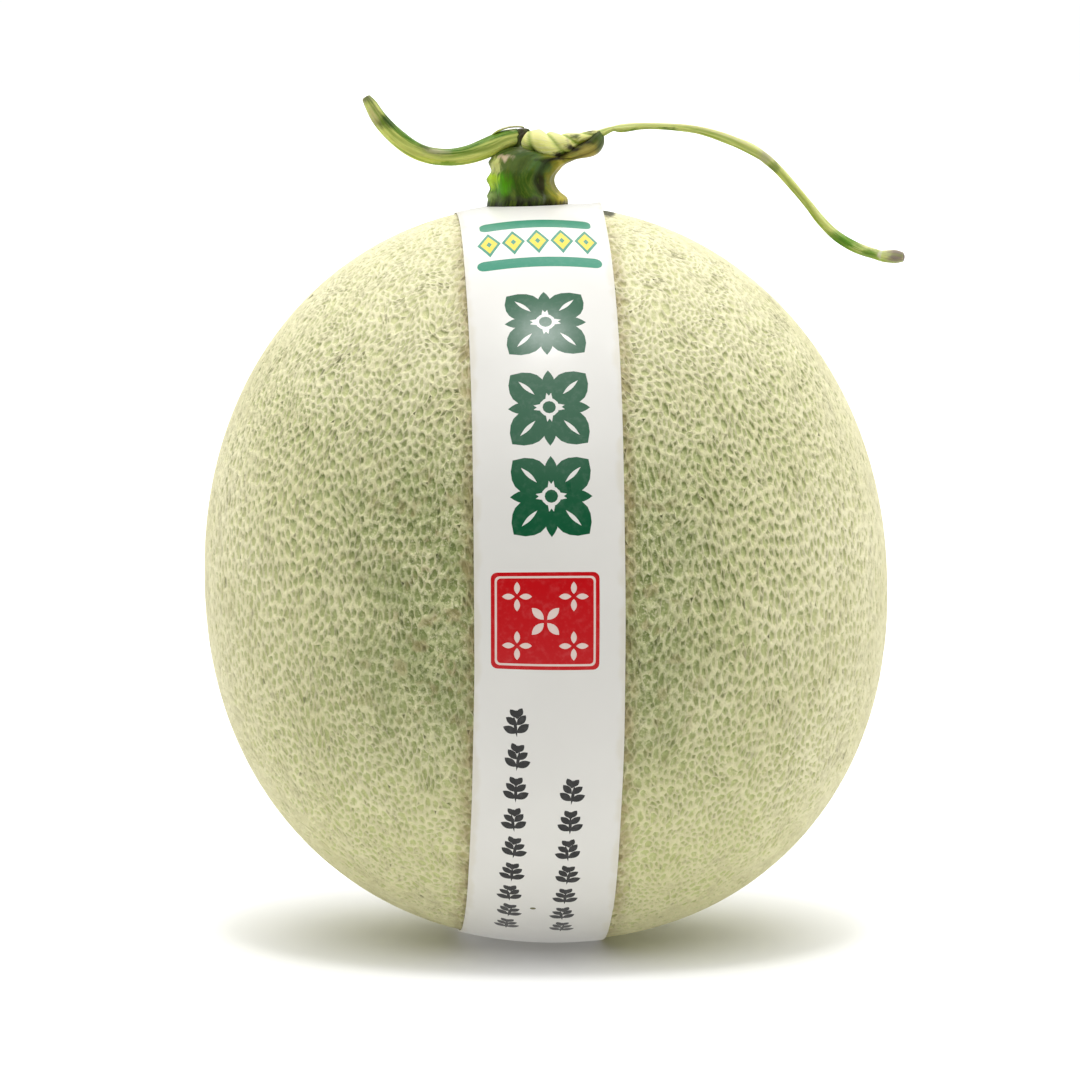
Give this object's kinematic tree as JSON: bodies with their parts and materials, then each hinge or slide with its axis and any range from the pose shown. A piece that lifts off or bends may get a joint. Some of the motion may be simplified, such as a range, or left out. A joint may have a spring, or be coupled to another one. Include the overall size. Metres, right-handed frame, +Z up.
{
  "type": "muskmelon with a paper band",
  "caption": "Whole netted muskmelon, a little taller than wide, with a cut T-shaped stem on top and a paper band wrapped over, down and under it.",
  "frame": {"origin": "on the surface that the melon stands on, in the flat underside of the paper band, below the middle of the fruit's equator", "axes": "+Z up, -Y out of the printed front of the band, +X to the right seen from the front"},
  "size_m": [0.1549, 0.1532, 0.1855],
  "materials": {
    "netted_rind": "matt raised cork net in cream over a green rind",
    "stalk_green": "satin ribbed plant skin",
    "vine_yellow_green": "satin ribbed plant skin",
    "leaf_stalk_green": "satin ridged plant skin",
    "tendril_green": "satin plant skin",
    "coated_paper": "semi-gloss coated white paper with coloured print"
  },
  "bodies": {
    "root": {"fruit": "netted_rind", "fruit_stalk": "stalk_green", "vine_stub": "vine_yellow_green", "leaf_stalk": "leaf_stalk_green", "tendril": "tendril_green", "paper_band": "coated_paper"}
  },
  "joints": []
}
